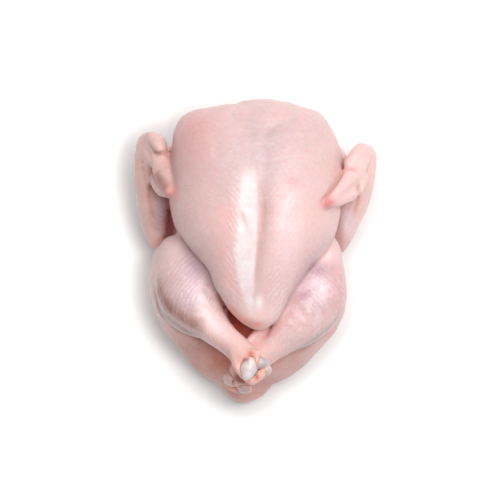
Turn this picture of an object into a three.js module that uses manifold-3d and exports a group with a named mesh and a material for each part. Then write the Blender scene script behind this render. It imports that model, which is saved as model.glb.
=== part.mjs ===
// A whole oven-ready chicken, raw and plucked, lying on its back: breast up, neck end towards +Y,
// tail towards -Y, wings folded at its sides and the two drumsticks crossed over the tail.
// Units are millimetres. The origin is on the surface that the bird rests on, under its middle.
// The bird is one solid, open at the vent. The two leg bones show at the cut ankles, and each
// runs through its drumstick as a solid of its own.

import * as THREE from "three";
import { ParametricGeometry } from "three/addons/geometries/ParametricGeometry.js";
import { mergeVertices } from "three/addons/utils/BufferGeometryUtils.js";
import Module from "manifold-3d";

const wasm = await Module();
wasm.setup();

// Driving dimensions.
const BREAST_WIDTH = 147;
const BREAST_HEIGHT = 117;
const BONE_GAP = 0.45;

// Trunk, from the tip of the breast to the neck end. Each row is one section:
// [y, midline x, half width and top as shares of the breast's, height of the widest line, underside].
const TRUNK = [
  [-66, 4, 0.13, 0.7, 74, 64],
  [-57, 2, 0.24, 0.765, 70, 50],
  [-34, -1, 0.46, 0.855, 65, 30],
  [-13, 1, 0.63, 0.93, 59, 8],
  [12, 1.5, 0.88, 0.985, 55, -1],
  [36, 0.6, 0.98, 1, 52, -3],
  [62, 0.8, 0.99, 0.99, 51, -3],
  [84, 0.5, 0.975, 0.965, 52, -1],
  [104, -2.3, 0.91, 0.9, 54, 6],
  [118, -1.5, 0.74, 0.82, 57, 22],
  [126.5, 5, 0.38, 0.7, 60, 40],
];
const TRUNK_ROUNDING = { tip: 11, neck: 8, top: 0.86, under: 0.74 };

// The groove between the two breast muscles, [y, x, half width, depth] along it.
const BREAST_GROOVE = [
  [-44, 4, 9, 0],
  [-8, 5, 9, 2],
  [14, 7.5, 8.5, 3.4],
  [36, 10.5, 9, 4],
  [62, 8.5, 12, 3.6],
  [88, 6, 19, 4],
  [112, 4, 25, 3],
  [130, 4, 28, 0],
];

// Back and rump, the same kind of sections from the root of the tail to the shoulders, in mm.
const BACK = [
  [-114, -9, 22, 25, 16, 8],
  [-101, -6.5, 38, 35, 20, 2],
  [-87, -5, 52, 42, 23, -1],
  [-60, -3, 61, 50, 27, -4],
  [-25, -1, 66, 55, 30, -4],
  [20, 0, 70, 56, 31, -4],
  [60, 0, 66, 50, 31, -4],
];
const BACK_ROUNDING = { tip: 12, neck: 20, top: 0.9, under: 0.74 };

// Girths of the limbs, [share of the length, half width, half depth] along each.
const DRUMSTICK_GIRTH = [
  [0, 11, 12],
  [0.12, 15.5, 16],
  [0.21, 21, 20.5],
  [0.32, 25.3, 24],
  [0.43, 23.5, 22.5],
  [0.55, 18.2, 17.5],
  [0.66, 13.5, 13],
  [0.79, 11.3, 11],
  [0.9, 12.3, 11.5],
  [1, 13.3, 12],
];
const THIGH_GIRTH = [
  [0, 8, 10],
  [0.25, 19, 20],
  [0.5, 26, 26],
  [0.75, 25, 27],
  [1, 15, 18],
];
const SKIN_FOLD_GIRTH = [
  [0, 5, 5],
  [0.4, 7.5, 7],
  [0.7, 6.5, 6],
  [1, 4, 4],
];
const UPPER_ARM_GIRTH = [
  [0, 13, 14],
  [0.5, 13, 14],
  [1, 9.5, 10],
];
const WING_WEB_GIRTH = [
  [0, 5, 5],
  [0.5, 9, 9],
  [1, 5, 6],
];
const FOREARM_GIRTH = [
  [0, 11, 10],
  [0.25, 11.5, 11.5],
  [0.55, 10.5, 12],
  [0.8, 9.5, 10.5],
  [1, 6, 7],
];
const HAND_GIRTH = [
  [0, 9, 8],
  [0.4, 9, 7],
  [0.75, 8.5, 6],
  [1, 5, 4.5],
];
const THUMB_GIRTH = [
  [0, 6, 6],
  [0.5, 6.5, 5.5],
  [1, 4.5, 4.5],
];
const TAIL_GIRTH = [
  [0, 21, 11],
  [0.4, 23.5, 12],
  [0.75, 19, 10],
  [1, 10, 7],
];
const NECK_SKIN_GIRTH = [
  [0, 14, 6],
  [0.3, 27, 9],
  [0.7, 31, 9],
  [1, 20, 7],
];
const SHANK_BONE_GIRTH = [
  [0, 5.5, 5.5],
  [0.15, 4.5, 4.5],
  [0.8, 4.5, 4.5],
  [1, 6, 6],
];
const VENT_GIRTH = [
  [0, 12, 7],
  [0.3, 12, 8],
  [0.45, 19, 14],
  [0.62, 26, 18],
  [0.85, 25, 18],
  [1, 16, 13],
];

// Landmarks of the limbs, each from the body outwards, and of the folds beside them.
const LIMBS = {
  left: {
    thigh: [[-36, -96, 19], [-48, -76, 25], [-59, -48, 30], [-65, -14, 36], [-67, 13, 42]],
    drumstick: [[-69, 15, 46], [-64, -14, 51], [-53, -43, 56], [-31, -69, 65], [-14, -81, 73], [2, -103, 83]],
    skinFold: [[-79, -20, 42], [-78, -44, 44], [-64, -64, 48], [-33, -77, 57]],
    upperArm: [[-56, 92, 44], [-73, 66, 32], [-78, 36, 22], [-80, 6, 19]],
    wingWeb: [[-84, 84, 42], [-81, 45, 36], [-80, 10, 26]],
    forearm: [[-86, 102, 48], [-90, 82, 46], [-90.5, 52, 38], [-87, 24, 28], [-82, 3, 22]],
    hand: [[-87, 98, 54], [-79, 73, 66], [-69, 47, 79]],
    thumb: [[-88, 98, 60], [-82, 92, 65], [-76, 82, 68]],
  },
  right: {
    thigh: [[20, -96, 18], [34, -80, 23], [49, -50, 29], [51, -14, 35], [56, 10, 42]],
    drumstick: [[62, 14, 46], [56, -18, 51], [45.5, -52, 54], [20, -75, 56], [-1, -92, 56], [-18, -111, 55]],
    skinFold: [[70, -28, 42], [68, -50, 42], [53, -67, 44], [24, -80, 50]],
    upperArm: [[56, 90, 44], [72, 64, 33], [75, 36, 23], [70, 4, 20]],
    wingWeb: [[84, 78, 44], [78, 42, 36], [71, 8, 27]],
    forearm: [[92, 92, 50], [91, 72, 47], [87, 44, 37], [79, 20, 29], [71, -2, 22]],
    hand: [[92, 90, 54], [82, 65, 70], [65, 43, 87], [53, 36, 95]],
    thumb: [[93, 90, 60], [84, 80, 67], [75, 71, 72]],
  },
};
const TAIL = [[-9, -88, 19], [-9, -110, 15], [-10, -129, 13]];
const NECK_SKIN = [[4, 96, 92], [6, 112, 89], [8, 119, 66], [5, 115, 34], [2, 92, 9]];
const VENT = [[-8, -126, 36], [-7, -76, 38], [-4, -34, 42], [-2, 18, 45]];

// Bones: where the shaft starts and ends along the drumstick, and the knuckles at the ankle,
// [x, y, z, radius] each.
const BONES = {
  left: {
    from: 0.3,
    to: 0.97,
    knuckles: [[-5, -97, 87.5, 7.5], [5, -92, 86, 5.5], [9, -98, 83.5, 5.2]],
  },
  right: {
    from: 0.3,
    to: 0.98,
    knuckles: [[-21, -107, 55.5, 5.5], [-10, -113.5, 55, 5.5]],
  },
};

// A function that gives the other columns of a table's rows, smoothly, at any value of the first.
function along(rows) {
  const places = rows.map((row) => row[0]);
  const values = rows.flatMap((row) => row.slice(1));
  const spline = new THREE.CubicInterpolant(places, values, rows[0].length - 1);
  return (place) => [...spline.evaluate(THREE.MathUtils.clamp(place, places[0], places.at(-1)))];
}

// How full a form is at one distance from its end, when its end is rounded over a length.
function fullness(distance, rounding) {
  if (distance >= rounding) return 1;
  const short = 1 - Math.max(distance, 0) / rounding;
  return Math.sqrt(Math.max(0, 1 - short * short));
}

// Places from 0 to 1 that lie closer together towards both ends.
function eased(share) {
  return 0.35 * share + (0.65 * (1 - Math.cos(Math.PI * share))) / 2;
}

function signedPower(value, power) {
  return Math.sign(value) * Math.abs(value) ** power;
}

// A solid of a closed surface, welded, with the triangles that shrank to nothing at its poles
// left out.
function solidOf(geometry) {
  geometry.deleteAttribute("normal");
  geometry.deleteAttribute("uv");
  const welded = mergeVertices(geometry, 1e-3);
  const corners = [];
  for (let i = 0; i < welded.index.count; i += 3) {
    const [a, b, c] = [0, 1, 2].map((k) => welded.index.getX(i + k));
    if (a !== b && b !== c && c !== a) corners.push(a, b, c);
  }
  return new wasm.Manifold(
    new wasm.Mesh({
      numProp: 3,
      vertProperties: welded.attributes.position.array,
      triVerts: new Uint32Array(corners),
    }),
  );
}

// A body of sections across the bird, rounded at its two ends. The dip lowers its upper side.
function sectioned(rows, rounding, steps, sides, dip) {
  const section = along(rows);
  const [start, end] = [rows[0][0], rows.at(-1)[0]];
  const surface = (u, v, target) => {
    const y = THREE.MathUtils.lerp(start, end, eased(u));
    const [middle, halfWidth, top, widest, under] = section(y);
    const full = fullness(y - start, rounding.tip) * fullness(end - y, rounding.neck);
    const angle = 2 * Math.PI * v;
    const [c, s] = [Math.cos(angle), Math.sin(angle)];
    const power = s > 0 ? rounding.top : rounding.under;
    const rise = s > 0 ? top - widest : widest - under;
    const x = middle + full * halfWidth * signedPower(c, power);
    const z = widest + full * rise * signedPower(s, power);
    target.set(x, y, s > 0 ? z - dip(x, y) * s * full : z);
  };
  return solidOf(new ParametricGeometry(surface, steps, sides));
}

function smoothLine(landmarks) {
  const places = landmarks.map((place) => new THREE.Vector3(...place));
  return new THREE.CatmullRomCurve3(places, false, "centripetal");
}

// A form round a smooth line, from one share of its length to another, rounded at both ends.
// Its width is level, or straight across the bird where it is flat on it.
function limb(line, girths, steps, sides, { from = 0, to = 1, extra = 0, flat = false } = {}) {
  const girth = along(girths);
  const length = line.getLength() * (to - from);
  const up = new THREE.Vector3(0, 0, 1);
  const acrossBird = new THREE.Vector3(1, 0, 0);
  const surface = (u, v, target) => {
    const share = eased(u);
    const place = THREE.MathUtils.lerp(from, to, share);
    const [halfWidth, halfDepth] = girth(share);
    const endSize = (share < 0.5 ? girths[0] : girths.at(-1))[1] + extra;
    const full = fullness(Math.min(share, 1 - share) * length, endSize);
    const forward = line.getTangentAt(place);
    const level = new THREE.Vector3().crossVectors(forward, up).normalize();
    const across = flat ? acrossBird : level;
    const outward = new THREE.Vector3().crossVectors(across, forward);
    const angle = 2 * Math.PI * v;
    target
      .copy(line.getPointAt(place))
      .addScaledVector(across, (halfWidth + extra) * full * Math.cos(angle))
      .addScaledVector(outward, (halfDepth + extra) * full * Math.sin(angle));
  };
  return solidOf(new ParametricGeometry(surface, steps, sides));
}

function together(solids) {
  return solids.reduce((sum, solid) => sum.add(solid));
}

function trunk() {
  const rows = TRUNK.map(([y, middle, width, top, widest, under]) => [
    y,
    middle,
    (width * BREAST_WIDTH) / 2,
    top * BREAST_HEIGHT,
    widest,
    under,
  ]);
  const groove = along(BREAST_GROOVE);
  const dip = (x, y) => {
    const [middle, halfWidth, depth] = groove(y);
    return depth * Math.exp(-(((x - middle) / halfWidth) ** 2));
  };
  return sectioned(rows, TRUNK_ROUNDING, 39, 46, dip);
}

function back() {
  return sectioned(BACK, BACK_ROUNDING, 18, 28, () => 0);
}

function tail() {
  return limb(smoothLine(TAIL), TAIL_GIRTH, 10, 18);
}

function neckSkin() {
  return limb(smoothLine(NECK_SKIN), NECK_SKIN_GIRTH, 18, 20, { flat: true });
}

function leg({ thigh, drumstick, skinFold }) {
  return together([
    limb(smoothLine(thigh), THIGH_GIRTH, 12, 20),
    limb(smoothLine(drumstick), DRUMSTICK_GIRTH, 24, 22),
    limb(smoothLine(skinFold), SKIN_FOLD_GIRTH, 12, 10),
  ]);
}

function wing({ upperArm, wingWeb, forearm, hand, thumb }) {
  return together([
    limb(smoothLine(upperArm), UPPER_ARM_GIRTH, 10, 14),
    limb(smoothLine(wingWeb), WING_WEB_GIRTH, 10, 12),
    limb(smoothLine(forearm), FOREARM_GIRTH, 16, 16),
    limb(smoothLine(hand), HAND_GIRTH, 12, 14),
    limb(smoothLine(thumb), THUMB_GIRTH, 8, 10),
  ]);
}

function vent() {
  return limb(smoothLine(VENT), VENT_GIRTH, 15, 14);
}

// A leg bone with its knuckles. With a gap it is the space that the bone takes up in the flesh.
function bone({ drumstick }, { from, to, knuckles }, gap = 0) {
  const line = smoothLine(drumstick);
  const gapShare = gap / line.getLength();
  const stretch = { from: from - gapShare, to: to + gapShare, extra: gap };
  const shaft = limb(line, SHANK_BONE_GIRTH, 12, 10, stretch);
  const ends = knuckles.map(([x, y, z, radius]) =>
    solidOf(new THREE.SphereGeometry(radius + gap, 12, 8).translate(x, y, z)),
  );
  return together([shaft, ...ends]);
}

function flesh() {
  const whole = together([
    trunk(),
    back(),
    tail(),
    neckSkin(),
    leg(LIMBS.left),
    leg(LIMBS.right),
    wing(LIMBS.left),
    wing(LIMBS.right),
  ]);
  const hollows = together([
    vent(),
    bone(LIMBS.left, BONES.left, BONE_GAP),
    bone(LIMBS.right, BONES.right, BONE_GAP),
  ]);
  return whole.subtract(hollows).trimByPlane([0, 0, 1], 0);
}

function meshOf(solid, name, material) {
  const { vertProperties, triVerts } = solid.getMesh();
  const geometry = new THREE.BufferGeometry();
  geometry.setAttribute("position", new THREE.BufferAttribute(vertProperties, 3));
  geometry.setIndex(new THREE.BufferAttribute(triVerts, 1));
  geometry.computeVertexNormals();
  const mesh = new THREE.Mesh(geometry, material);
  mesh.name = name;
  return mesh;
}

function skinMaterial() {
  return new THREE.MeshStandardMaterial({ color: 0xe9cac6, roughness: 0.38, metalness: 0 });
}

function cartilageMaterial() {
  return new THREE.MeshStandardMaterial({ color: 0xe6dcdc, roughness: 0.3, metalness: 0 });
}

const chicken = new THREE.Group();
chicken.name = "whole_chicken";
chicken.add(
  meshOf(flesh(), "chicken", skinMaterial()),
  meshOf(bone(LIMBS.left, BONES.left), "left_shank_bone", cartilageMaterial()),
  meshOf(bone(LIMBS.right, BONES.right), "right_shank_bone", cartilageMaterial()),
);

export default chicken;
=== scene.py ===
"""A whole raw chicken on its back, seen from straight above in soft light on a white table.

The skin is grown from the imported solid. A copy of it gets the small folds and collars of skin that
the solid leaves out, is fused into one fine mesh and smoothed, and is then carved with creases.
Lengths in this script are millimetres in the part's own frame, and become metres in meshes.
"""

import math

import bpy
import numpy as np
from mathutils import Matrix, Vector, noise
from mathutils.bvhtree import BVHTree
from mathutils.kdtree import KDTree


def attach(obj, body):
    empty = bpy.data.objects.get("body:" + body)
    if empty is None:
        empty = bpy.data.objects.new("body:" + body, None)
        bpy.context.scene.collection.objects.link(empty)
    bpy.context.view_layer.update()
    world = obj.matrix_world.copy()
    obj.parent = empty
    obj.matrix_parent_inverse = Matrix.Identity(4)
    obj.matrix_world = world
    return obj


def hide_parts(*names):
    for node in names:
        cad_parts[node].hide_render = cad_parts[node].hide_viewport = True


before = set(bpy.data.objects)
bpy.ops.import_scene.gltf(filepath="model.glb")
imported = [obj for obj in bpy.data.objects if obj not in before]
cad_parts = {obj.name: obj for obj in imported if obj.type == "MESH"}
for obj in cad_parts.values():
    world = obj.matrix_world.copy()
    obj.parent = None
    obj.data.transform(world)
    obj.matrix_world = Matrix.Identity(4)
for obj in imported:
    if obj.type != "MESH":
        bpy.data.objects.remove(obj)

MM = 0.001
# The fineness of the fused skin and of the fused cartilage.
SKIN_VOXEL = 1.15
CARTILAGE_VOXEL = 0.55
# Where a ray starts that looks for the skin, outside the bird on every side.
OUTSIDE = 200

# The photograph's frame: its centre in the part's frame, and the width that it takes in at the
# height of the bird's outline.
VIEW_CENTRE = (-4.2, 1.7)
VIEW_WIDTH = 420
OUTLINE_HEIGHT = 55
CAMERA_HEIGHT = 3200
SENSOR_WIDTH = 36

# Folds of skin fused onto the body: the line of each, and its radius along that line.
FOLDS = {
    "collar round the left ankle": (
        [(-19, -86, 81), (-15, -95.5, 84.5), (-9.5, -103, 86), (-2.5, -108, 86)],
        [2.8, 3.6, 3.4, 3.4],
    ),
    "skin knob of the left ankle": (
        [(1, -106, 85.5), (5, -102, 86.8), (7.5, -99, 86.6)],
        [3.6, 3.8, 2.8],
    ),
    "skin above the knuckles": ([(-4, -84.5, 84.5), (2, -84.5, 86)], [4.4, 4]),
    "skin between the knuckles": (
        [(0.8, -85.5, 88), (1.3, -90, 91), (2, -94.5, 91)],
        [3, 2.5, 1.7],
    ),
    "collar round the right ankle": (
        [(-25.5, -106, 51), (-22, -113, 50), (-13, -118, 49)],
        [2.2, 3, 2.4],
    ),
    "skin knob of the right ankle": ([(-17, -108.5, 57), (-13, -110.5, 57.5)], [3.6, 3.6]),
    "web below the breast tip": ([(-7, -78, 62), (-1, -71, 61), (7, -63, 57)], [4, 4.6, 4]),
    "left thumb": ([(-87, 97, 62), (-82.5, 90.5, 68.5), (-79, 86, 71)], [5, 5.6, 4.8]),
    "second finger of the left wing": (
        [(-86, 67, 58), (-82, 57.5, 62), (-77, 51.5, 67), (-69.6, 50, 71)],
        [4, 5.6, 5.6, 4.8],
    ),
    "inner edge of the left finger": (
        [(-82, 77, 69), (-76.5, 67, 72), (-69.8, 56.5, 73.5)],
        [2.4, 3.6, 4],
    ),
    "skin between the left fingers and forearm": (
        [(-90, 84, 58), (-88, 72, 57), (-86.5, 60, 54)],
        [5, 5.5, 4.5],
    ),
    "ridge of the left forearm": (
        [(-98, 80, 47), (-95, 52, 42), (-90, 24, 33), (-83, 6, 26)],
        [4, 5, 5, 4],
    ),
    "right thumb": ([(90, 86, 64), (84, 79, 70), (78.5, 73.5, 73)], [5, 5.4, 4.4]),
    "upper edge of the right finger": (
        [(86, 73, 66), (77.5, 60.5, 79), (66.5, 48, 91), (60, 40.5, 97.5)],
        [8, 7, 5, 3.4],
    ),
    "lower edge of the right finger": (
        [(88, 62, 62), (82.5, 52, 72), (71, 43.5, 86), (60.5, 39.5, 96.5)],
        [7.5, 7.5, 5.4, 3.2],
    ),
    "inner side of the left drumstick": (
        [(-57, -4, 64), (-50, -15, 65), (-43, -27, 65.5), (-39, -35, 66)],
        [3, 5.4, 5.4, 3],
    ),
    "edge of the left skin fold": (
        [(-84, -26, 42), (-80, -47, 43), (-68, -64, 45), (-46, -76, 51)],
        [2.6, 3.4, 3.8, 3],
    ),
    "edge of the right skin fold": (
        [(73, -36, 42), (68, -55, 42), (54, -71, 43), (34, -81, 46)],
        [2, 3.2, 3.4, 2.6],
    ),
    "left side of the rump": ([(-55, -78, 16), (-44, -91, 19), (-33, -102, 18)], [9, 11, 9]),
}

# Lumps fused onto the cartilage of each ankle, which show beyond the collar of skin.
KNOBS = {
    "left": [
        ([(-3.6, -92.5, 89), (-6, -102, 89)], [5.6, 5.2]),
        ([(5.6, -91.2, 87.2), (8, -92.3, 86)], [4, 3.9]),
    ],
    "right": [
        ([(-22, -106, 55.5), (-19, -109, 56)], [4.8, 4.6]),
        ([(-12, -112.5, 55), (-6.5, -115, 55)], [4.2, 4]),
    ],
}

# Small moves of the skin towards the photograph's outline: the line along which it moves, how far
# around that line, and the move.
NUDGES = {
    "lower edge of the left shank": ([(-62, -66, 50), (-36, -78, 54)], 15, (2, 5, 0)),
    "upper inner edge of the left drumstick": ([(-62, 6, 62), (-46, -12, 70)], 10, (2.6, 1.2, 0)),
    "inner edge of the left drumstick": ([(-40, -22, 72), (-33, -34, 70)], 10, (4, 2, 0)),
    "lower inner edge of the left drumstick": ([(-28, -44, 70), (-20, -58, 70)], 9, (1.4, 0.6, 0)),
    "left shoulder": ([(-72, 98, 50), (-62, 113, 50)], 13, (5, -2.4, 0)),
    "lower right outline": ([(76, -42, 40), (68, -62, 40)], 12, (1.3, -0.9, 0)),
    "low end of the right forearm": ([(84, 22, 34), (76, 0, 24)], 16, (-3, 0, 0)),
    "rump right of the tail": (
        [(12, -108, 22), (26, -104, 22), (38, -94, 22)],
        11, (1.8, -2.9, 0),
    ),
}

# The breast's relief across the groove: distance from the groove, and how much the skin rises.
GROOVE_LINE = [(112, 4), (86, 5.9), (60, 8.5), (33, 10.6), (13, 7.5), (-8, 5), (-32, 3), (-60, 3)]
RELIEF = [
    (-44, 0), (-38, 0.3), (-32.6, 1.0), (-28.6, 1.5), (-24.6, 1.2), (-20.6, 0.5), (-16.6, -0.3),
    (-12.6, -1.3), (-8.6, -2.2), (-5.6, -3.1), (-3.6, -3.3), (-1.6, -2.5), (1.4, -0.6),
    (5.4, 0.2), (12, 0.3), (20, 0),
]
# How much of the relief there is at points along the breast.
RELIEF_SHARE = [
    (72, 0), (60, 0.3), (50, 0.65), (40, 0.95), (0, 0.95), (-20, 0.85), (-38, 0.6), (-54, 0),
]

# Creases carved along lines on the skin: the line, half width and depth. A negative depth raises.
# A place without a height of its own lies on top of the skin.
CREASES = {
    "short breast crease": ([(-11.5, 33), (-8, 22), (-3, 11), (0.5, 3)], 2.2, 1.4),
    "neck fold's left edge": ([(-24, 117), (-12, 110), (-4, 103), (1, 95)], 5.5, 1.5),
    "neck fold's right edge": ([(38, 113), (24, 108), (13, 102), (7, 94)], 5.5, 1.5),
    "line down from the neck": ([(5, 100), (5, 84), (7, 68)], 6, 0.8),
    "hump of neck skin": ([(4, 106, 102), (7, 115, 98), (9, 124, 90)], 9, -1.6),
    "faint shoulder crease": ([(-31, 92), (-33, 78)], 3, 0.5),
    "left thumb crease": (
        [(-88.2, 91), (-86.1, 86.5), (-82.6, 82.4), (-79, 82.7), (-75, 84.3)],
        1.7, 1.1,
    ),
    "left finger's outer crease": ([(-91, 88), (-89, 81.5), (-87.4, 75.6), (-86.4, 62)], 1.8, 1.0),
    "crease between the left fingers": (
        [(-86.4, 64), (-82.6, 57.2), (-79, 52), (-74.5, 47.5)],
        2, 0.6,
    ),
    "left forearm crease": ([(-88.7, 56), (-88, 44), (-85.7, 25), (-80, 12)], 2.2, 1.4),
    "left wrist wrinkle": ([(-101, 73.5), (-91.6, 76)], 1.3, 0.8),
    "lower left wrist wrinkle": ([(-101, 68.5), (-90.7, 70.6)], 1.3, 0.7),
    "right forearm crease": ([(88.5, 54), (85.7, 43.7), (82.2, 31), (76, 14)], 2.4, 1.3),
    "right thumb crease": ([(76.4, 69.7), (81.2, 68.2), (88.7, 72.6)], 1.8, 1.0),
    "right finger crease": ([(84, 50.5), (88, 57)], 1.6, 1.0),
    "below the right finger": ([(54, 37), (58.8, 34.6), (70, 37), (78, 38)], 1.7, 1.2),
    "above the right finger": ([(54.5, 41.5), (63.4, 52.2), (73, 66)], 1.7, 1.3),
    "left drumstick over its fold": (
        [
            (-85, -20), (-81, -33), (-74.4, -48.7), (-67.2, -56.4),
            (-60, -61.3), (-50.4, -65.6), (-38, -70),
        ],
        2.0, 0.9,
    ),
    "left fold's outer edge": (
        [
            (-86, -24), (-84, -34), (-80.4, -50), (-74.4, -59.6),
            (-64.8, -66.7), (-53, -71.4), (-43, -74),
        ],
        1.6, 1.0,
    ),
    "right drumstick over its fold": (
        [(74, -36), (67, -50), (57, -62), (43, -73), (27, -81)],
        2.4, 0.5,
    ),
    "right fold's outer edge": ([(75, -50), (67.5, -62.5), (50, -77), (29, -87.5)], 1.7, 1.2),
    "slit of the vent": ([(-33, -33), (-29, -40), (-24, -48)], 2.0, 1.0),
    "fold down the neck's end": (
        [(-9, None, 84), (-15, None, 68), (-17, None, 50), (-12, None, 34)],
        5, 0.9,
    ),
    "second fold down the neck's end": (
        [(17, None, 84), (21, None, 68), (20, None, 52), (14, None, 34)],
        5, 0.9,
    ),
    "outer fold of the neck's end": ([(-34, None, 76), (-38, None, 58), (-30, None, 38)], 6, 0.7),
    "outer fold on the other side": ([(40, None, 74), (43, None, 58), (34, None, 38)], 6, 0.7),
    "edge of the neck's flap of skin": (
        [
            (-56, None, 46), (-36, None, 33), (-10, None, 27),
            (14, None, 27), (40, None, 34), (58, None, 48),
        ],
        3, 2.2,
    ),
    "tail notch": ([(-8.4, -117, 26), (-9.5, -128, 22)], 2.6, 1.1),
}

# The share of a crease's length over which each of its ends fades.
CREASE_FADE = 0.15
CURVE_POINTS = 20

# How the skin is evened out: the rounds, how far each goes, and how much less on the fine forms.
SMOOTH_ROUNDS = 16
SMOOTHING = 0.62
SPARED_SMOOTHING = 0.42

# The skin's edge is drawn onto cartilage that comes out through it: from how far, how close, and
# how far round it the rim of skin reaches.
DRAWN_REACH = 2.2
DRAWN_GAP = 0.08
RIM = 6

# The drumsticks' middle lines, as the solid has them, and their mean radius.
DRUMSTICKS = {
    "left": [(-69, 15, 46), (-64, -14, 51), (-53, -43, 56), (-31, -69, 65), (-14, -81, 73)],
    "right": [(62, 14, 46), (56, -18, 51), (45.5, -52, 54), (20, -75, 56), (-1, -92, 56)],
}
DRUMSTICK_POINTS = 40
DRUMSTICK_RADIUS = 21
# The rows of follicles on a drumstick: their spacing and length, their slant in degrees, and how
# plain they are.
DRUMSTICK_ROWS = (3.3, 9)
DRUMSTICK_SLANTS = {"left": -34, "right": 26}
DRUMSTICK_STRENGTHS = {"left": 0.7, "right": 0.45}
# The rows on the webs of the wings: the middle and radii of each web, spacing and length, and how
# plain they are.
WING_WEBS = [((-79, 32, 40), (6, 16, 14)), ((78, 26, 38), (7, 20, 18))]
WEB_ROWS = (3.4, 8)
WEB_STRENGTH = 0.45
# The slanting ridges beside the groove: their slope in degrees, spacing and length, and for each
# side the band's distance from the groove and its half width.
CHEVRON_SLOPE = 50
CHEVRON_ROWS = (3.6, 9)
CHEVRON_BANDS = {"left": (-25, 7), "right": (17, 11)}


def smoothstep(low, high, values):
    t = np.clip((values - low) / (high - low), 0, 1)
    return t * t * (3 - 2 * t)


def falloff(distance, width):
    """1 at no distance, falling smoothly to about a third at the width."""
    return np.exp(-((distance / width) ** 2))


def near(points, place, radii):
    """For each point, 1 at the place, falling smoothly to about a third at the radii."""
    return np.exp(-(((points - place) / radii) ** 2).sum(axis=1))


def looked_up(rows, values):
    """Values read from rows of places and numbers, straight between them."""
    rows = np.array(sorted(rows), float)
    return np.interp(values, rows[:, 0], rows[:, 1])


def near_line(points, line):
    """Each point's distance from a line of straight pieces, and its share of the line's length."""
    line = np.array(line, float)
    steps = np.diff(line, axis=0)
    lengths = np.linalg.norm(steps, axis=1)
    starts = np.concatenate([[0], np.cumsum(lengths)])
    best = np.full(len(points), 1e9)
    share = np.zeros(len(points))
    for start, step, length, before in zip(line, steps, lengths, starts):
        t = np.clip((points - start) @ step / length**2, 0, 1)
        distance = np.linalg.norm(points - start - t[:, None] * step, axis=1)
        closer = distance < best
        best[closer] = distance[closer]
        share[closer] = (before + t[closer] * length) / starts[-1]
    return best, share


def smooth_curve(points, count):
    """Points evenly along a Catmull-Rom curve through the given ones."""
    p = np.array(points, float)
    p = np.vstack([2 * p[0] - p[1], p, 2 * p[-1] - p[-2]])
    t = np.linspace(0, len(points) - 1 - 1e-9, count)
    i = t.astype(int)
    f = (t - i)[:, None]
    a, b, c, d = p[i], p[i + 1], p[i + 2], p[i + 3]
    bend = 2 * a - 5 * b + 4 * c - d
    twist = 3 * b - a - 3 * c + d
    return 0.5 * (2 * b + (c - a) * f + bend * f**2 + twist * f**3)


def tube(line, radii, count=20, sides=14):
    """A closed tube along a smooth curve through the given points, with round ends."""
    path = smooth_curve(line, count)
    radius = np.interp(np.linspace(0, 1, count), np.linspace(0, 1, len(radii)), radii)
    forward = np.gradient(path, axis=0)
    forward /= np.linalg.norm(forward, axis=1)[:, None]
    turn = np.radians([80, 60, 40, 20])[:, None]
    first = path[0] - forward[0] * radius[0] * np.sin(turn)
    last = path[-1] + forward[-1] * radius[-1] * np.sin(turn[::-1])
    poles = np.array([path[0] - forward[0] * radius[0], path[-1] + forward[-1] * radius[-1]])
    path = np.vstack([first, path, last])
    shrink = np.cos(turn[:, 0])
    radius = np.concatenate([radius[0] * shrink, radius, radius[-1] * shrink[::-1]])
    ends = len(turn)
    forward = np.vstack([forward[:1].repeat(ends, 0), forward, forward[-1:].repeat(ends, 0)])
    across = np.cross(forward, (0, 0, 1.0))
    across /= np.linalg.norm(across, axis=1)[:, None] + 1e-9
    upward = np.cross(across, forward)
    angles = np.linspace(0, 2 * np.pi, sides, endpoint=False)[None, :, None]
    around = across[:, None] * np.cos(angles) + upward[:, None] * np.sin(angles)
    rings = path[:, None] + radius[:, None, None] * around
    verts = np.vstack([rings.reshape(-1, 3), poles])
    rows = len(path)
    faces = []
    for k in range(rows - 1):
        for s in range(sides):
            a, b = k * sides + s, k * sides + (s + 1) % sides
            faces.append((a, b, b + sides, a + sides))
    last_row = (rows - 1) * sides
    for s in range(sides):
        faces.append((rows * sides, (s + 1) % sides, s))
        faces.append((rows * sides + 1, last_row + s, last_row + (s + 1) % sides))
    return verts, faces


def solid_form(node):
    """A CAD node's vertices, in millimetres, and its faces."""
    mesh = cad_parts[node].data
    verts = np.empty(len(mesh.vertices) * 3, np.float32)
    mesh.vertices.foreach_get("co", verts)
    return verts.reshape(-1, 3).astype(float) / MM, [tuple(p.vertices) for p in mesh.polygons]


def new_piece(name, verts, faces):
    mesh = bpy.data.meshes.new(name)
    mesh.from_pydata((verts * MM).tolist(), [], faces)
    piece = bpy.data.objects.new(name, mesh)
    bpy.context.scene.collection.objects.link(piece)
    return piece


def fused(name, forms, voxel):
    """One piece whose fine even mesh is the outer surface of all the forms together."""
    counts = np.cumsum([0] + [len(verts) for verts, _ in forms])
    verts = np.vstack([verts for verts, _ in forms])
    faces = []
    for (_, part), start in zip(forms, counts):
        faces.extend(tuple(i + start for i in face) for face in part)
    piece = new_piece(name, verts, faces)
    remesh = piece.modifiers.new("fuse", "REMESH")
    remesh.mode = "VOXEL"
    remesh.voxel_size = voxel * MM
    depsgraph = bpy.context.evaluated_depsgraph_get()
    fine = bpy.data.meshes.new_from_object(piece.evaluated_get(depsgraph))
    piece.modifiers.clear()
    piece.data = fine
    fine.name = name
    fine.shade_smooth()
    return piece


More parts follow.
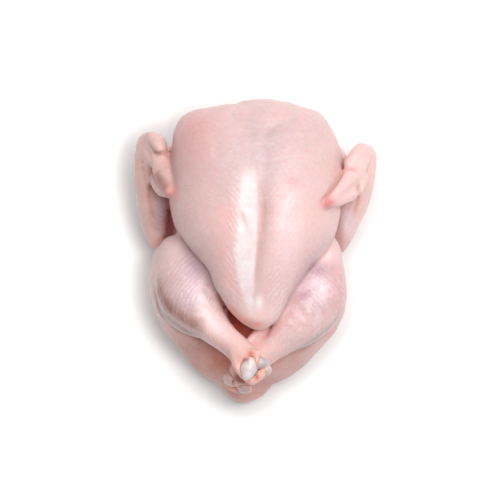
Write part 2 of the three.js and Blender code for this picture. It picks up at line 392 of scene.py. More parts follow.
class Surface:
    """A piece's vertices in millimetres, with what is needed to smooth, carve and tint them."""

    def __init__(self, piece):
        self.mesh = piece.data
        count = len(self.mesh.vertices)
        flat = np.empty(count * 3, np.float32)
        self.mesh.vertices.foreach_get("co", flat)
        self.points = flat.reshape(-1, 3).astype(float) / MM
        pairs = np.empty(len(self.mesh.edges) * 2, np.int32)
        self.mesh.edges.foreach_get("vertices", pairs)
        self.pairs = pairs.reshape(-1, 2)
        self.degree = np.bincount(pairs, minlength=count).astype(float)

    def neighbours_mean(self, values):
        a, b = self.pairs.T
        count = len(values)
        total = np.zeros_like(values)
        for k in range(values.shape[1]):
            total[:, k] = np.bincount(a, values[b, k], count) + np.bincount(b, values[a, k], count)
        return total / self.degree[:, None]

    def smooth(self, rounds, share=0.6):
        """Evens out the surface. Share is how far a vertex goes to its neighbours' mean, one number
        for all vertices or one for each."""
        share = np.broadcast_to(share, len(self.points))[:, None]
        for _ in range(rounds):
            self.points += share * (self.neighbours_mean(self.points) - self.points)

    def normals(self):
        self.store()
        flat = np.empty(len(self.points) * 3, np.float32)
        self.mesh.vertex_normals.foreach_get("vector", flat)
        return flat.reshape(-1, 3).astype(float)

    def push(self, distance):
        self.points += self.normals() * distance[:, None]

    def store(self):
        self.mesh.vertices.foreach_set("co", (self.points * MM).astype(np.float32).ravel())
        self.mesh.update()

    def keep(self, name, values):
        """Stores one number or one colour for each vertex, for the material to read."""
        colour = values.ndim == 2
        attribute = self.mesh.attributes.new(name, "FLOAT_COLOR" if colour else "FLOAT", "POINT")
        if colour:
            values = np.hstack([values, np.ones((len(values), 1))])
        flat = values.astype(np.float32).ravel()
        attribute.data.foreach_set("color" if colour else "value", flat)


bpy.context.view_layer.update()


def fine_forms(points):
    """1 on the wings and ankles, whose small forms are spared in smoothing, and 0 elsewhere."""
    x, y, z = points.T
    on_wing = np.maximum(smoothstep(72, 80, -x), smoothstep(70, 78, x)) * smoothstep(-2, 6, y)
    at_ankle = smoothstep(-76, -86, y) * smoothstep(42, 50, z)
    return np.maximum(on_wing, at_ankle)


fold_tubes = [tube(*fold) for fold in FOLDS.values()]
skin = fused("chicken_skin", [solid_form("chicken")] + fold_tubes, SKIN_VOXEL)
surface = Surface(skin)
surface.smooth(SMOOTH_ROUNDS, SMOOTHING - SPARED_SMOOTHING * fine_forms(surface.points))
for line, radius, move in NUDGES.values():
    reach = falloff(near_line(surface.points, line)[0], radius)
    surface.points += reach[:, None] * np.array(move, float)
surface.store()
form = BVHTree.FromPolygons(surface.points.tolist(), [p.vertices for p in skin.data.polygons])


def on_skin(place):
    """A place in millimetres. One without its height, or with None for y, is moved onto the skin,
    from above or from the neck's end."""
    if len(place) == 2:
        return tuple(form.ray_cast(Vector((*place, OUTSIDE)), Vector((0, 0, -1)))[0])
    if place[1] is None:
        return tuple(form.ray_cast(Vector((place[0], OUTSIDE, place[2])), Vector((0, -1, 0)))[0])
    return tuple(place)


def line_on_skin(line):
    """A smooth line of places, on the skin where they have no height or y of their own."""
    if len(line[0]) == 3 and line[0][1] is None:
        seen_from_neck = smooth_curve([(x, z) for x, _, z in line], CURVE_POINTS)
        return [on_skin((x, None, z)) for x, z in seen_from_neck]
    return [on_skin(place) for place in smooth_curve(line, CURVE_POINTS)]


def across_groove(points):
    """Each point's distance to the right of the breast's groove."""
    return points[:, 0] - looked_up(GROOVE_LINE, points[:, 1])


def unevenness(points, period, seed):
    """Soft noise of about -1 to 1, with bumps about a period apart."""
    shifted = points / period + np.array((seed, seed * 0.37, seed * 0.71))
    return np.array([noise.noise(Vector(p)) for p in shifted])


def feather_rows(points, normals):
    """For each point: how many ribs of skin it is across, how many rib lengths along, and how plain
    the ribs are.

    On the breast they are the slanting ridges beside the groove, on a drumstick they run round it,
    and on the webs of the wings they run along it."""
    rows = np.zeros((len(points), 3))

    def lay_rows(across, along, weight, margin=0.0):
        plainer = weight > rows[:, 2] + margin
        rows[plainer] = np.stack([across, along, weight], axis=1)[plainer]

    x, y, z = points.T
    offset = across_groove(points)
    slope = math.radians(CHEVRON_SLOPE)
    spacing, length = CHEVRON_ROWS
    on_breast = smoothstep(-64, -50, y) * smoothstep(70, 44, y) * smoothstep(72, 84, z)
    for side, (middle, half_width) in CHEVRON_BANDS.items():
        outward = -offset if side == "left" else offset
        along = outward * math.cos(slope) + y * math.sin(slope)
        over = -outward * math.sin(slope) + y * math.cos(slope)
        weight = on_breast * falloff(offset - middle, half_width)
        weight *= smoothstep(0.1, 0.5, normals[:, 2])
        lay_rows(over / spacing, along / length, weight)

    spacing, length = DRUMSTICK_ROWS
    for side, line in DRUMSTICKS.items():
        path = smooth_curve(line, DRUMSTICK_POINTS)
        distance, share = near_line(points, path)
        shares = np.linspace(0, 1, DRUMSTICK_POINTS)
        middle = np.stack([np.interp(share, shares, path[:, k]) for k in range(3)], axis=1)
        direction = path[-1] - path[0]
        reach = np.linalg.norm(direction)
        sideways = np.cross(direction / reach, (0, 0, 1.0))
        sideways /= np.linalg.norm(sideways)
        out = points - middle
        angle = np.arctan2(out @ sideways, out[:, 2])
        weight = smoothstep(0, 0.3, share) * smoothstep(1.0, 0.8, share)
        weight *= DRUMSTICK_STRENGTHS[side]
        weight *= smoothstep(31, 26, distance) * smoothstep(2.2, 1.4, np.abs(angle))
        slant = math.radians(DRUMSTICK_SLANTS[side])
        along, around = share * reach, angle * DRUMSTICK_RADIUS
        across = along * math.cos(slant) + around * math.sin(slant)
        beside = around * math.cos(slant) - along * math.sin(slant)
        lay_rows(across / spacing, beside / length, weight)

    spacing, length = WEB_ROWS
    outward = np.abs(x)
    for place, radii in WING_WEBS:
        weight = WEB_STRENGTH * near(points, place, radii)
        lay_rows((y * 0.9 - outward * 0.5) / spacing, outward / length, weight, 0.05)
    return rows


x, y, z = surface.points.T
relief = looked_up(RELIEF, across_groove(surface.points)) * looked_up(RELIEF_SHARE, y)
surface.points[:, 2] += relief * smoothstep(74, 84, z)
surface.smooth(2, 0.5)

carving = np.zeros(len(surface.points))
for line, half_width, depth in CREASES.values():
    distance, share = near_line(surface.points, line_on_skin(line))
    fade = smoothstep(0, CREASE_FADE, share) * smoothstep(0, CREASE_FADE, 1 - share)
    carving -= depth * fade * falloff(distance, half_width)
carving += 0.35 * unevenness(surface.points, 16, 1.7) + 0.15 * unevenness(surface.points, 6, 5.3)
surface.push(carving)
surface.smooth(1, 0.4)


def shank_end(side):
    """The cartilage at the end of a shank, grown from its solid."""
    node = side + "_shank_bone"
    knobs = [tube(*knob) for knob in KNOBS[side]]
    end = fused(side + "_shank_end", [solid_form(node)] + knobs, CARTILAGE_VOXEL)
    shape = Surface(end)
    shape.smooth(10, 0.6)
    shape.push(0.35 * unevenness(shape.points, 6, 2.2))
    shape.store()
    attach(end, "root")
    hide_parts(node)
    return shape, end


def draw_close(surface, piece, reach, gap):
    """Draws the skin's edge onto a piece that comes out through it. Returns how near each vertex of
    the skin is to that piece."""
    corners = [v.co / MM for v in piece.data.vertices]
    tree = BVHTree.FromPolygons(corners, [p.vertices for p in piece.data.polygons])
    box = np.array(piece.bound_box) / MM
    low, high = box.min(axis=0) - RIM, box.max(axis=0) + RIM
    inside = ((surface.points > low) & (surface.points < high)).all(axis=1)
    nearness = np.zeros(len(surface.points))
    for i in np.flatnonzero(inside):
        nearest, normal, _, distance = tree.find_nearest(Vector(surface.points[i]), RIM)
        if nearest is None:
            continue
        outward = (Vector(surface.points[i]) - nearest).dot(normal) > 0
        nearness[i] = 1 - distance / RIM if outward else 1
        pull = max(0, 1 - distance / reach) if outward else 1
        target = np.array(nearest + normal * gap)
        surface.points[i] += (target - surface.points[i]) * pull
    return nearness


shank_ends = [shank_end(side) for side in ("left", "right")]
rim = np.zeros(len(surface.points))
for shape, end in shank_ends:
    rim = np.maximum(rim, draw_close(surface, end, DRAWN_REACH, DRAWN_GAP))
surface.store()
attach(skin, "root")
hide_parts("chicken")


def srgb(r, g, b):
    """A linear colour from a screen colour of 0 to 255."""
    c = np.array((r, g, b)) / 255
    return np.where(c <= 0.04045, c / 12.92, ((c + 0.055) / 1.055) ** 2.4)


def patches(points, blobs):
    """One number for each point: the greatest of soft round patches."""
    values = np.zeros(len(points))
    for place, radii, strength in blobs.values():
        values = np.maximum(values, strength * near(points, place, radii))
    return values


def lay(colours, colour, share):
    """Lays a screen colour over the colours, by a share for each point."""
    colours += share[:, None] * (srgb(*colour) - colours)


def tinted(points, base, blobs):
    """A colour for each point: the base, with soft round patches laid over it in turn."""
    colours = np.tile(srgb(*base), (len(points), 1))
    for place, radii, colour, strength in blobs.values():
        lay(colours, colour, np.clip(strength * near(points, on_skin(place), radii), 0, 1))
    return colours


class Nodes:
    """A short way to write a material's nodes."""

    def __init__(self, name):
        self.material = bpy.data.materials.new(name)
        self.material.use_nodes = True
        self.tree = self.material.node_tree
        self.shader = self.tree.nodes["Principled BSDF"]

    def add(self, kind, settings=None, **sockets):
        node = self.tree.nodes.new(kind)
        for key, value in (settings or {}).items():
            setattr(node, key, value)
        for key, value in sockets.items():
            self.join(value, node.inputs[int(key[1:]) if key[0] == "_" else key.replace("_", " ")])
        return node

    def join(self, value, socket):
        if isinstance(value, bpy.types.NodeSocket):
            self.tree.links.new(value, socket)
        else:
            socket.default_value = value

    def set_shader(self, sockets):
        """Joins values and links to the shader's own sockets."""
        for name, value in sockets.items():
            self.join(value, self.shader.inputs[name])

    def maths(self, operation, a, b=0.0, c=0.0):
        return self.add("ShaderNodeMath", {"operation": operation}, _0=a, _1=b, _2=c).outputs[0]

    def ramp(self, value, low, high, to_low=0.0, to_high=1.0):
        settings = {"interpolation_type": "SMOOTHSTEP"}
        sockets = {"_0": value, "_1": low, "_2": high, "_3": to_low, "_4": to_high}
        return self.add("ShaderNodeMapRange", settings, **sockets).outputs[0]

    def mix(self, share, a, b, blend="MIX"):
        node = self.add("ShaderNodeMix", {"data_type": "RGBA", "blend_type": blend})
        self.join(share, node.inputs[0])
        self.join(a, node.inputs[6])
        self.join(b, node.inputs[7])
        return node.outputs[2]

    def noise(self, place, scale, detail=3.0, roughness=0.55):
        sockets = {"Vector": place, "Scale": scale, "Detail": detail, "Roughness": roughness}
        return self.add("ShaderNodeTexNoise", **sockets).outputs["Fac"]

    def attribute(self, name, output="Fac"):
        return self.add("ShaderNodeAttribute", {"attribute_name": name}).outputs[output]

    def place(self, scale=(1, 1, 1)):
        """The point in the part's frame, in millimetres, stretched."""
        coordinate = self.add("ShaderNodeTexCoord").outputs["Object"]
        mapping = self.add("ShaderNodeMapping", Vector=coordinate)
        mapping.inputs["Scale"].default_value = [s / MM for s in scale]
        return mapping.outputs[0]

    def bump(self, height, distance_mm, strength=1.0, normal=None):
        sockets = {"Height": height, "Strength": strength, "Distance": distance_mm * MM}
        if normal is not None:
            sockets["Normal"] = normal
        return self.add("ShaderNodeBump", **sockets).outputs[0]


# Where the skin shines most: the middle, the radii and how wet.
WET_PATCHES = {
    "crest": ((-5, 6, 112), (9, 50, 30), 1.0),
    "breast tip": ((1, -45, 98), (8, 12, 20), 0.8),
    "left drumstick": ((-40, -46, 74), (14, 28, 20), 0.8),
    "right drumstick": ((54, -34, 72), (16, 24, 20), 0.65),
    "right chevrons": ((28, 6, 110), (10, 44, 30), 0.5),
    "wings": ((0, 40, 34), (400, 50, 30), 0.3),
    "ankles": ((-4, -96, 70), (26, 22, 30), 0.6),
}
SKIN_BASE = (226, 194, 190)
# The keel's white skin, with a painted highlight.
KEEL_WHITE_AND_HIGHLIGHT_COLOUR = (242, 235, 235)
RIM_COLOUR = (232, 158, 136)
# Where the breast and a drumstick touch, the hollow between them gets less painted shade: the
# line, and how much less.
PALE_CONTACTS = [
    ([(64, 20), (54, 0), (42, -19), (30, -40), (23, -52)], 0.75),
    ([(-66, 12), (-53, -2), (-41, -17), (-34, -30)], 0.5),
]
# Small red spots of blood round the ankles, and dark red spots of painted shade in the gaps
# between the ankles' knuckles: the place, radius and colour.
BLOOD_SPOTS_AND_GAP_SHADE = [
    ((-3.8, -84.4), 2.7, (214, 104, 76)),
    ((-8.4, -89.4), 1.6, (150, 66, 50)),
    ((1.4, -104), 1.8, (196, 84, 62)),
    # The spots from here on are painted shade in the gaps between the ankles' knuckles.
    ((-14, -106.4), 2.8, (180, 44, 34)),
    ((-9.5, -108.2), 2.4, (180, 50, 40)),
    ((-18.8, -107.9), 1.8, (120, 58, 50)),
    ((-10.6, -112.6), 2.8, (170, 108, 96)),
]
# The share of a stripe's length over which each of its ends fades.
STRIPE_FADE = 0.2
# Twice how far the ribs cut into the left edge of the white skin and painted highlight over the
# keel.
KEEL_TEETH = 9
# Lines of colour on the skin, some painted shade: the line, half width, colour and strength.
SKIN_STRIPES = {
    "pink beside the keel": (
        [(-22, 50), (-25, 14), (-24, -12), (-18, -38)],
        8, (246, 194, 190), 0.65,
    ),
    # Painted shade in the short breast crease.
    "shade in the short breast crease": (
        [(-11.5, 33), (-8, 22), (-3, 11), (0.5, 3)],
        2, (214, 190, 192), 0.7,
    ),
    # Painted shade in the groove, on its wall that faces away from the light.
    "shade in the groove": (
        [(10.5, 42), (9.5, 34), (6.5, 14), (5, -8)],
        2.8, (206, 168, 174), 0.45,
    ),
    "shade along the left finger": (
        [(-84, 68), (-78.3, 58.8), (-73.4, 50.4)],
        5, (162, 116, 104), 0.85,
    ),
    "shade at the left drumstick's edge": (
        [(-83, -18), (-80, -32), (-75.5, -41.5), (-69, -49.5), (-62, -55), (-52, -60), (-38, -65)],
        7.6, (152, 104, 90), 0.85,
    ),
    "pale edge of the left fold": (
        [(-87, -20), (-84.5, -33), (-79, -49.5), (-71.8, -58.4), (-63, -64), (-57, -66.4)],
        2.9, (206, 194, 189), 1.1,
    ),
    "grey end of the left fold": (
        [(-64, -63.5), (-55, -67), (-42, -71.5)],
        3.2, (172, 158, 154), 0.7,
    ),
    # A painted shadow line between the left fold and the skin outside it.
    "shadow line outside the left fold": (
        [
            (-86, -24), (-84, -34), (-80.4, -50), (-74.4, -59.6),
            (-64.8, -66.7), (-53, -71.4), (-43, -74),
        ],
        1.5, (144, 106, 98), 0.45,
    ),
    "shade under the left shank": (
        [(-54, -62), (-43.7, -68.5), (-34.4, -73.5), (-24.4, -82), (-17.8, -92), (-13, -99)],
        4.4, (186, 134, 114), 0.4,
    ),
    # Painted shade in the valleys beside the neck's fold, and in the line down from the neck.
    "shade in the valley left of the neck": (
        [(-24, 117), (-12, 110), (-4, 103), (1, 95)],
        4.5, (202, 182, 180), 0.6,
    ),
    "shade in the valley right of the neck": (
        [(38, 113), (24, 108), (13, 102), (7, 94)],
        4.5, (206, 184, 182), 0.6,
    ),
    "shade in the line down the breast": ([(4, 100), (4, 84), (6, 66)], 4, (208, 188, 188), 0.5),
    # The right fold's grey band, darker still as painted shade on the drumstick's underside.
    "grey and shaded edge of the right fold": (
        [(74, -43), (67, -57.5), (54.5, -69.5), (41, -78.5), (27, -86)],
        4, (178, 163, 161), 0.8,
    ),
    # Painted shade, reddish brown, in the left forearm's crease.
    "shade in the left forearm's crease": (
        [(-88.7, 58), (-88.2, 44), (-85.7, 25)],
        2.0, (190, 126, 104), 0.6,
    ),
    # Painted shade, reddish brown, in the crease beside the left fingers.
    "shade in the crease beside the left fingers": (
        [(-89.5, 76), (-88.5, 64), (-87, 50)],
        1.9, (168, 104, 84), 0.7,
    ),
    # Painted shade, reddish brown, in the crease above the right finger.
    "shade in the crease above the right finger": (
        [(75, 68), (64, 52.4), (55.5, 42)],
        1.6, (200, 132, 116), 0.7,
    ),
    # Painted shade, reddish, in the right forearm's crease.
    "reddish shade in the right forearm's crease": ([(88.5, 52), (85, 40), (82, 26)], 1.8, (206, 138, 126), 0.5),
    "red line beside the web": ([(14, -61), (10.7, -69.7), (7.6, -74.3)], 1.8, (190, 96, 96), 0.7),
    "red of the vent's slit": ([(-32, -32), (-28, -39), (-23, -47)], 2.6, (206, 112, 98), 0.95),
    "red edge of the breast tip": (
        [(-23, -41), (-16, -51), (-8, -57.5), (2, -60.5), (9, -57.5)],
        4.6, (242, 156, 140), 0.75,
    ),
}
# Irregular blotches, the whitish ones painted highlights: the middle of each group, its radii,
# the size of a blotch, colour and strength.
BLOTCHES = {
    # Painted highlights on the right drumstick.
    "right drumstick": ((53, -30, 72), (12, 15, 20), 9, (242, 220, 228), 0.7),
    # Painted highlights trailing down the right drumstick towards the shank.
    "highlights on the right drumstick towards the shank": ((38, -50, 72), (17, 16, 20), 6, (242, 222, 226), 0.75),
    "mauve of the right drumstick": ((43, -36, 72), (12, 16, 20), 7.3, (194, 160, 172), 0.45),
    # Painted highlights on the left drumstick.
    "left drumstick": ((-42, -40, 74), (14, 20, 20), 6, (246, 226, 228), 0.45),
}
# The white skin over the keel, brightened further by a painted highlight: points along the breast,
# its left and right edges there, and its strength.
KEEL_WHITE_AND_HIGHLIGHT = [
    (72, -10, 0, 0), (60, -12, 1.4, 0.8), (44, -14.5, 1.8, 0.95), (22, -16.8, 1.7, 1.1),
    (2, -18.8, 1, 1.3), (-12, -17.4, 0.2, 1.35), (-26, -13.6, -0.6, 1.2), (-40, -9, -1, 0.8),
    (-52, -6, -1, 0),
]
# How many rounds of smoothing tell a hollow from the form around it.
HOLLOW_ROUNDS = 60
# How wide the contacts with less painted shade are, and along the painted shade at the left
# drumstick's edge, how far from it and how much the ribs fade.
CONTACT_WIDTH = 7
SHADE_WIDTH = 9
SHADE_FADE = 0.6
# The hollow inside the bird, which doesn't get the painted shade of a crease: its middle and radii.
VENT = ((-5, -54, 30), (25, 30, 22))
# Where fine wrinkles line the skin across: the middle and radii.
LINED_SKIN = ((4, 88, 108), (56, 38, 30))
# Soft patches of colour, some of them painted shade or painted highlight, laid in this order: the
# middle, the radii, colour and strength.
SKIN_PATCHES = {
    "grey of the upper breast": ((6, 84, 112), (38, 46, 40), (199, 181, 182), 0.85),
    "left shoulder": ((-52, 96, 85), (22, 32, 40), (220, 166, 165), 0.7),
    "right shoulder": ((54, 96, 88), (22, 30, 40), (207, 180, 178), 0.65),
    # The left flank's own colour, darkened further as painted shade on the side away from the light.
    "left flank, partly shaded": ((-66, 30, 60), (14, 60, 40), (196, 158, 150), 0.6),
    "right lobe": ((28, 6, 108), (12, 46, 30), (246, 216, 217), 0.7),
    "red spot": ((31, 57, 113), (6, 6, 12), (236, 156, 158), 0.7),
    "breast tip": ((0, -57, 90), (24, 11, 24), (254, 220, 216), 0.85),
    # A painted highlight on the breast tip.
    "highlight on the breast tip": ((3.2, -41.5), (3.6, 7, 8), (252, 242, 240), 0.9),
    "left knee": ((-66, 2, 60), (14, 12, 24), (228, 212, 210), 0.8),
    "left drumstick": ((-54, -32, 72), (22, 28, 20), (194, 174, 178), 0.85),
    "lilac by the breast": ((-50, -20, 70), (8, 20, 14), (200, 170, 188), 0.8),
    "right drumstick": ((50, -22, 72), (24, 30, 24), (204, 174, 182), 0.9),
    "mauve of the right knee": ((55, -13.5, 69), (13, 8, 12), (164, 126, 144), 0.95),
    "top of the right knee": ((57, -2, 66), (11, 8, 16), (246, 222, 220), 0.9),
    # A painted highlight on the right drumstick.
    "highlight on the right drumstick": ((55, -29.5, 74), (8, 9, 16), (232, 204, 214), 0.55),
    "right drumstick's far side": ((68, -32, 60), (9, 20, 20), (208, 154, 154), 0.8),
    "red of the low right edge": ((68, -70, 38), (8, 7, 14), (220, 150, 140), 0.6),
    "right shank": ((24, -70, 66), (16, 14, 14), (216, 189, 186), 0.75),
    "left shank": ((-32, -62, 74), (15, 15, 16), (238, 212, 211), 0.8),
    "left ankle": ((-8, -92, 78), (16, 14, 16), (240, 184, 168), 0.7),
    "tip of the right finger": ((60.5, 40.5), (6.5, 5, 7), (211, 101, 106), 0.9),
    "shade between the left fingers": ((-76, 52), (4.5, 5, 7), (196, 132, 132), 0.7),
    "middle knuckle of the right ankle": ((-14.5, -110.2), (4, 3.4, 5), (218, 202, 192), 0.95),
    "right ankle": ((-14, -108, 54), (18, 14, 14), (232, 170, 150), 0.7),
    # The rump's own brown, darkened further as painted shade below the drumsticks.
    "left of the rump, partly shaded": ((-46, -92, 20), (30, 24, 22), (202, 156, 143), 1.0),
    # Painted shade under the left drumstick and under the left ankle.
    "shade under the left drumstick": ((-46, -80, 34), (24, 12, 12), (178, 131, 118), 0.55),
    "shade under the left ankle": ((-28, -90, 38), (14, 14, 20), (208, 138, 114), 0.9),
    # The rump's own colour, darkened further as painted shade.
    "right of the rump, partly shaded": ((26, -98, 24), (30, 24, 26), (204, 168, 162), 1.0),
    "tail": ((-9, -120, 14), (22, 14, 18), (220, 167, 157), 1.0),
    "right of the tail": ((9, -112, 18), (15, 10, 14), (196, 148, 140), 0.8),
    "left wing": ((-86, 60, 40), (16, 56, 40), (210, 172, 162), 0.9),
    "left finger": ((-76, 67, 72), (9, 14, 16), (192, 159, 147), 0.75),
    "left finger tip": ((-68, 50, 76), (7, 7, 12), (226, 150, 142), 0.7),
    "left wing's web": ((-80, 32), (5, 16, 14), (190, 174, 180), 0.85),
    "left elbow": ((-81, 5, 22), (8, 8, 12), (220, 150, 138), 0.6),
    "right wing": ((84, 58, 44), (16, 50, 40), (244, 210, 203), 0.7),
    "right wing's web": ((77, 28, 36), (7, 20, 18), (230, 214, 219), 0.9),
    "low end of the right wing": ((74, 8, 26), (9, 9, 14), (206, 160, 154), 0.8),
    # Painted shade, dark red, in the gap between the ankles.
    "shade between the ankles": ((-14, -106.6), (6.5, 3.2, 9), (100, 26, 20), 1.0),
    # Painted shade in the creases of the thumbs and of the right finger.
    "shade in the left thumb's crease": ((-82, 83), (7, 2, 5), (168, 100, 82), 0.6),
    "shade in the right thumb's crease": ((81, 69), (6, 2, 5), (208, 132, 122), 0.5),
    "shade in the right finger's crease": ((86, 54), (2, 4, 5), (176, 104, 88), 0.6),
    "inside of the vent": ((-5, -54, 30), (25, 26, 20), (255, 132, 104), 3),
    # Painted shade in the gaps behind the wings.
    "shade in the gap behind the left wing": ((-71, 28, 30), (8, 26, 22), (164, 84, 88), 1.0),
    "shade in the gap behind the right wing": ((70, 22, 30), (5, 40, 22), (120, 70, 66), 0.4),
}

tint = tinted(surface.points, SKIN_BASE, SKIN_PATCHES)
for line, half_width, colour, strength in SKIN_STRIPES.values():
    distance, share = near_line(surface.points, line_on_skin(line))
    ends = smoothstep(0, STRIPE_FADE, share) * smoothstep(1, 1 - STRIPE_FADE, share)
    lay(tint, colour, strength * falloff(distance, half_width) * ends)
for place, radii, period, colour, strength in BLOTCHES.values():
    ragged = unevenness(surface.points, period, 8.9)
    ragged += 0.4 * unevenness(surface.points, period / 2.5, 4.4)
    reach = strength * near(surface.points, place, radii)
    lay(tint, colour, reach * smoothstep(-0.05, 0.3, ragged))

# The white skin over the keel with its painted highlight, whose left edge is jagged by the ribs
# that run into it.
x, y, z = surface.points.T
left, right, strength = (looked_up([(row[0], row[k]) for row in KEEL_WHITE_AND_HIGHLIGHT], y) for k in (1, 2, 3))
rows = feather_rows(surface.points, surface.normals())
left = left + KEEL_TEETH * np.abs((rows[:, 0] % 1) - 0.5) * rows[:, 2]
right = right + 0.9 * unevenness(surface.points, 12, 6.1)
reach = smoothstep(-2.4, 2.4, x - left) * smoothstep(-1.6, 1.6, right - x)
reach *= strength * smoothstep(80, 90, z)
reach *= 0.75 + 0.3 * unevenness(surface.points, 9, 3.1)
crease = line_on_skin(CREASES["short breast crease"][0])
reach *= 1 - 0.8 * falloff(near_line(surface.points, crease)[0], 2)
lay(tint, KEEL_WHITE_AND_HIGHLIGHT_COLOUR, np.clip(reach, 0, 1))

lay(tint, RIM_COLOUR, 0.6 * smoothstep(0, 0.8, rim))
# Spots of blood, and spots of painted shade in the gaps round the ankles.
for place, radius, colour in BLOOD_SPOTS_AND_GAP_SHADE:
    distance = np.linalg.norm(surface.points - on_skin(place), axis=1)
    lay(tint, colour, falloff(distance, radius))
surface.keep("tint", tint)


def hollowness(surface, rounds):
    """How far each vertex lies below the surface's own smoothed form, in millimetres."""
    kept = surface.points.copy()
    normals = surface.normals()
    surface.smooth(rounds, 0.6)
    depth = ((surface.points - kept) * normals).sum(axis=1)
    surface.points = kept
    return depth


hollow = hollowness(surface, HOLLOW_ROUNDS)
shade = line_on_skin(SKIN_STRIPES["shade at the left drumstick's edge"][0])
rows[:, 2] *= smoothstep(1.4, 0.4, hollow)
rows[:, 2] *= 1 - SHADE_FADE * falloff(near_line(surface.points, shade)[0], SHADE_WIDTH)
for line, strength in PALE_CONTACTS:
    distance = near_line(surface.points, line_on_skin(line))[0]
    hollow *= 1 - strength * falloff(distance, CONTACT_WIDTH)
in_vent = 1.5 * near(surface.points, *VENT)
# The hollowness, kept for the painted shade in the hollows, less in the vent and at the rim.
surface.keep("hollow", hollow * (1 - np.clip(in_vent, 0, 1)) * (1 - 0.5 * rim))
surface.keep("rows", rows)
surface.keep("wet", np.maximum(patches(surface.points, WET_PATCHES), rim))
surface.keep("lined", near(surface.points, *LINED_SKIN))
surface.store()


def skin_material():
    n = Nodes("wet_poultry_skin")
    tint = n.attribute("tint", "Color")
    place = n.place()

    # Cloudy and finely mottled colour, redder and darker in the hollows as painted shade.
    broad = n.noise(place, 0.055, 3.0)
    fine = n.noise(place, 0.32, 3.0)
    colour = n.mix(n.ramp(broad, 0.35, 0.65, 0.0, 0.25), tint, (0.80, 0.57, 0.56, 1))
    colour = n.mix(n.ramp(fine, 0.35, 0.7, 0.0, 0.6), colour, (1.0, 0.86, 0.87, 1), "MULTIPLY")
    hollow = n.ramp(n.attribute("hollow"), 0.25, 1.6, 0.0, 0.47)
    colour = n.mix(hollow, colour, (0.42, 0.14, 0.10, 1))

    # Ribs of skin along the rows of follicles, bent, broken along their length and patchy.
    rows = n.add("ShaderNodeSeparateXYZ", Vector=n.attribute("rows", "Vector"))
    across, along, plain = rows.outputs
    bend = n.maths("MULTIPLY", n.noise(place, 0.07, 2.0), 1.5)
    bend = n.maths("MULTIPLY_ADD", n.noise(place, 0.3, 2.0), 0.8, bend)
    across = n.maths("ADD", across, bend)
    wave = n.maths("COSINE", n.maths("MULTIPLY", across, 2 * math.pi))
    streaks = n.add("ShaderNodeCombineXYZ", X=across, Y=along, Z=plain).outputs[0]
    streak = n.ramp(n.noise(streaks, 1.5, 2.0), 0.42, 0.6)
    patchy = n.ramp(n.noise(place, 0.07, 2.0), 0.36, 0.6, 0.35, 1.0)
    rib = n.maths("MULTIPLY", n.ramp(wave, -0.6, 1.0), n.maths("MULTIPLY_ADD", streak, 0.85, 0.15))
    rib = n.maths("MULTIPLY", rib, n.maths("MULTIPLY", plain, patchy))
    colour = n.mix(n.maths("MULTIPLY", rib, 0.46), colour, (0.92, 0.82, 0.82, 1))

    # Pores everywhere, and wrinkles that also darken the upper breast.
    pores = n.add(
        "ShaderNodeTexVoronoi", {"feature": "SMOOTH_F1"}, Vector=place, Scale=0.42,
        Smoothness=0.5, Randomness=1.0,
    )
    dots = n.ramp(pores.outputs["Distance"], 0.6, 0.1)
    wrinkles = n.noise(n.place((0.1, 0.34, 0.22)), 1.0, 4.0)
    lined = n.maths("MULTIPLY", n.ramp(wrinkles, 0.42, 0.6, 1.0, 0.0), n.attribute("lined"))
    colour = n.mix(n.maths("MULTIPLY", lined, 0.3), colour, (0.93, 0.80, 0.81, 1), "MULTIPLY")
    normal = n.bump(wrinkles, 0.6, n.maths("MULTIPLY_ADD", n.attribute("lined"), 0.3, 0.3))
    normal = n.bump(dots, 0.17, 0.55, normal)
    normal = n.bump(rib, 0.3, 0.55, normal)

    wet = n.attribute("wet")
    dull = n.ramp(fine, 0.3, 0.7, 0.46, 0.62)
    n.set_shader({
        "Base Color": colour,
        "Normal": normal,
        "Roughness": n.maths("SUBTRACT", dull, n.maths("MULTIPLY", wet, 0.2)),
        "Coat Weight": n.maths("MULTIPLY_ADD", wet, 0.4, 0.06),
        "Coat Roughness": 0.22,
        "Subsurface Weight": 0.35,
        "Subsurface Radius": (1.0, 0.35, 0.22),
        "Subsurface Scale": 3.5 * MM,
    })
    return n.material


CARTILAGE_BASE = (212, 192, 186)
CARTILAGE_PATCHES = {
    "white knuckle": ((-5.4, -97.5, 90), (8, 10, 9), (238, 231, 233), 1),
    # Painted shade, lilac, on one side of the white knuckle.
    "lilac shade on the white knuckle's side": ((-2, -99, 90), (2.4, 6, 6), (206, 196, 210), 0.8),
    "speck on the white knuckle": ((-6.7, -89, 92), (1.8, 2, 5), (176, 112, 94), 0.8),
    "grey knuckle": ((7, -91, 88), (4.5, 5, 8), (186, 187, 196), 1),
    "pink knuckle": ((11, -97, 84), (5, 5, 8), (208, 188, 186), 1),
    "low left knuckle": ((-22.7, -105.5, 56), (6, 6, 8), (208, 184, 172), 1),
    "low right knuckle": ((-8, -114.5, 55), (6, 6, 8), (206, 178, 170), 1),
}


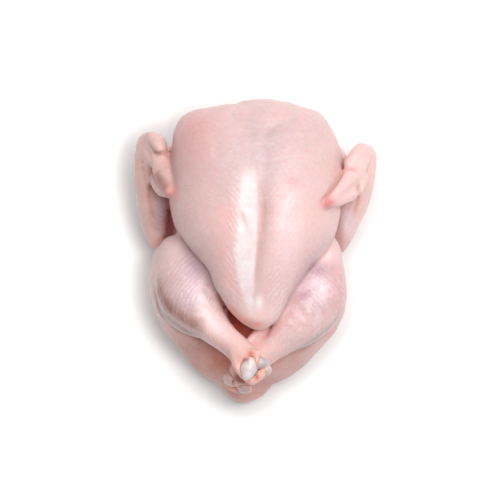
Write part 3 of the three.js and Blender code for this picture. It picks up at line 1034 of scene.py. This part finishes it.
def cartilage_material():
    n = Nodes("wet_cartilage")
    place = n.place()
    cloud = n.noise(place, 0.14, 3.0)
    tint = n.attribute("tint", "Color")
    colour = n.mix(n.ramp(cloud, 0.35, 0.65, 0.7, 0.0), tint, (0.90, 0.80, 0.79, 1), "MULTIPLY")
    # Painted shade, red-brown, where the cartilage meets the skin.
    colour = n.mix(n.ramp(n.attribute("rim"), 0.0, 1.0, 0.0, 0.6), colour, (0.74, 0.46, 0.40, 1))
    specks = n.noise(place, 0.5, 2.0)
    colour = n.mix(n.ramp(specks, 0.66, 0.8, 0.0, 0.5), colour, (0.66, 0.22, 0.16, 1))
    n.set_shader({
        "Base Color": colour,
        "Normal": n.bump(n.noise(place, 0.8, 2.0), 0.2, 0.5),
        "Roughness": n.ramp(cloud, 0.3, 0.7, 0.28, 0.44),
        "Coat Weight": 0.18,
        "Coat Roughness": 0.12,
        "Subsurface Weight": 0.3,
        "Subsurface Radius": (1.0, 0.7, 0.6),
        "Subsurface Scale": 2.5 * MM,
    })
    return n.material


skin.data.materials.append(skin_material())
cartilage = cartilage_material()
skin_tree = BVHTree.FromPolygons(surface.points.tolist(), [p.vertices for p in skin.data.polygons])
for shape, end in shank_ends:
    end.data.materials.append(cartilage)
    shape.keep("tint", tinted(shape.points, CARTILAGE_BASE, CARTILAGE_PATCHES))
    # How near the skin each point of the cartilage is, for the painted shade at its edge.
    gaps = [skin_tree.find_nearest(Vector(point))[3] for point in shape.points]
    shape.keep("rim", smoothstep(2.4, 0.3, np.array(gaps)))

# The table is a grid of squares near the bird, with long strips beyond it: the table's half width,
# the grid's half width, and a square's.
TABLE_HALF = 4000
TABLE_FINE = 220
TABLE_GRID = 4
# The table's own light grows between these distances from the bird, from and to these strengths.
SHADOW_REACH = (4, 24)
TABLE_GLOW = (0.09, 0.34)
# Which of the skin's vertices tell the distance from the bird: one in this many.
OUTLINE_STEP = 8


def table_material():
    """White, with its own light growing away from the bird, so that the soft shadow stays close."""
    n = Nodes("white_table")
    n.set_shader({
        "Base Color": n.mix(n.noise(n.place(), 0.02), (0.79, 0.79, 0.79, 1), (0.81, 0.81, 0.81, 1)),
        "Roughness": 0.9,
        "Emission Color": (1, 1, 1, 1),
        "Emission Strength": n.ramp(n.attribute("beyond"), *SHADOW_REACH, *TABLE_GLOW),
    })
    return n.material


steps = [-TABLE_HALF, *range(-TABLE_FINE, TABLE_FINE + 1, TABLE_GRID), TABLE_HALF]
places = [(x, y, 0) for y in steps for x in steps]
width = len(steps)
starts = [row * width + column for row in range(width - 1) for column in range(width - 1)]
squares = [(i, i + 1, i + width + 1, i + width) for i in starts]
outline = surface.points[::OUTLINE_STEP]
flat_bird = KDTree(len(outline))
for i, (x, y, _) in enumerate(outline):
    flat_bird.insert((x, y, 0), i)
flat_bird.balance()
floor_mesh = bpy.data.meshes.new("floor")
floor_mesh.from_pydata((np.array(places) * MM).tolist(), [], squares)
beyond = floor_mesh.attributes.new("beyond", "FLOAT", "POINT")
beyond.data.foreach_set("value", [flat_bird.find(place)[2] for place in places])
floor = bpy.data.objects.new("floor", floor_mesh)
bpy.context.scene.collection.objects.link(floor)
floor_mesh.materials.append(table_material())

world = bpy.data.worlds.new("studio")
world.use_nodes = True
world.node_tree.nodes["Background"].inputs["Color"].default_value = (1, 1, 1, 1)
world.node_tree.nodes["Background"].inputs["Strength"].default_value = 0.35
bpy.context.scene.world = world

# Where the lights point, in metres.
LIGHTS_AIM = (0, 0, 0.05)


def area_light(name, place, width, length, power):
    data = bpy.data.lights.new(name, "AREA")
    data.shape = "RECTANGLE"
    data.size = width
    data.size_y = length
    data.energy = power
    light = bpy.data.objects.new(name, data)
    light.location = place
    light.rotation_mode = "QUATERNION"
    light.rotation_quaternion = (Vector(LIGHTS_AIM) - Vector(place)).to_track_quat("-Z", "Y")
    bpy.context.scene.collection.objects.link(light)


area_light("overhead", (0.22, 0.52, 1.5), 1.3, 1.3, 18)
area_light("key", (0.55, 0.2, 1.3), 0.4, 1.0, 6.5)

camera_data = bpy.data.cameras.new("camera")
camera = bpy.data.objects.new("camera", camera_data)
bpy.context.scene.collection.objects.link(camera)
camera.location = (VIEW_CENTRE[0] * MM, VIEW_CENTRE[1] * MM, CAMERA_HEIGHT * MM)
camera_data.sensor_width = SENSOR_WIDTH
camera_data.lens = SENSOR_WIDTH * (CAMERA_HEIGHT - OUTLINE_HEIGHT) / VIEW_WIDTH
camera_data.clip_end = 20
bpy.context.scene.camera = camera
bpy.context.scene.view_settings.view_transform = "Standard"
